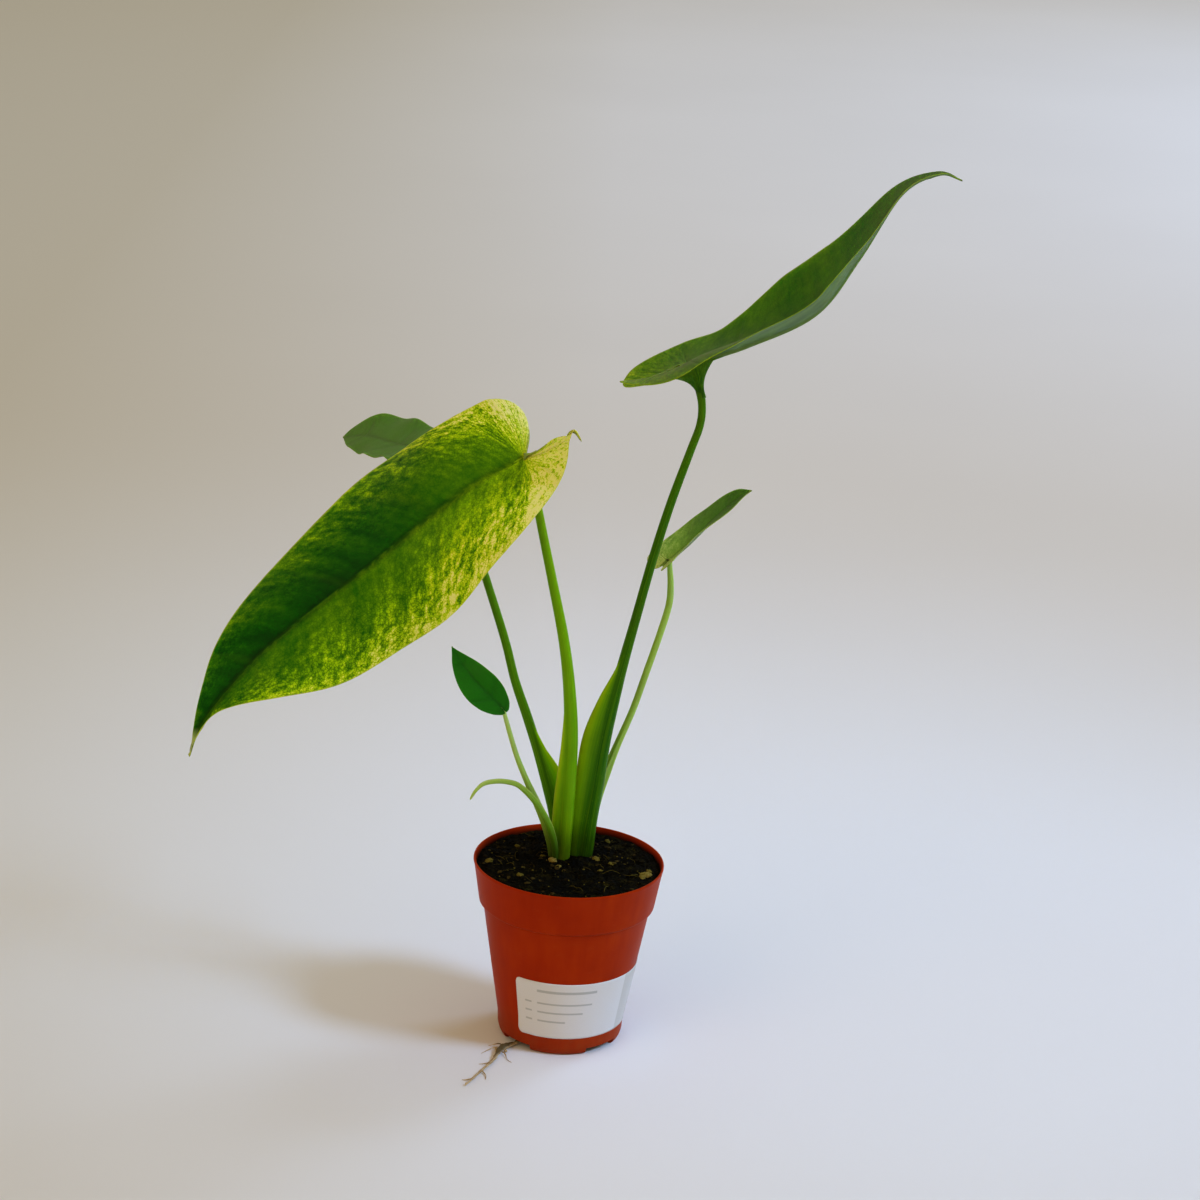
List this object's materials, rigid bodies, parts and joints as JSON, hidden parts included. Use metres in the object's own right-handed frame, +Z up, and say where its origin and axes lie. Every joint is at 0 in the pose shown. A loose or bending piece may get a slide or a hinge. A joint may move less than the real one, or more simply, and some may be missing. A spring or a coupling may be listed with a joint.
{
  "type": "potted foliage plant",
  "caption": "Young aroid house plant with long arrow-shaped leaves on tall sheathed stalks, rooted in soil in a tapered plastic nursery pot with a plain label.",
  "frame": {"origin": "centre of the pot's flat base, on the surface it stands on", "axes": "+Z up, -Y towards the side with the label, +X towards the tall leaf's tip"},
  "size_m": [0.3357, 0.188, 0.4164],
  "materials": {
    "pot_plastic": "satin terracotta-coloured plastic",
    "label_paper": "matt coated paper",
    "soil": "rough moist potting mix",
    "root_bark": "fibrous root",
    "blade_mottled": "satin leaf with yellow mottling",
    "blade_dark": "satin dark green leaf",
    "blade_grey": "matt grey-green leaf",
    "stalk_yellow": "satin yellow-green stalk",
    "stalk_dark": "satin dark green stalk",
    "stalk_pale": "satin pale green stalk"
  },
  "bodies": {
    "root": {"pot": "pot_plastic", "label": "label_paper", "soil": "soil", "crown": "root_bark", "root_tail": "root_bark", "blade_large": "blade_mottled", "blade_tall": "blade_dark", "blade_back": "blade_grey", "blade_right": "blade_grey", "blade_left": "blade_dark", "stalk_large": "stalk_yellow", "stalk_tall": "stalk_dark", "stalk_back": "stalk_dark", "stalk_right": "stalk_pale", "stalk_left": "stalk_pale", "stalk_strap": "stalk_pale"}
  },
  "joints": []
}
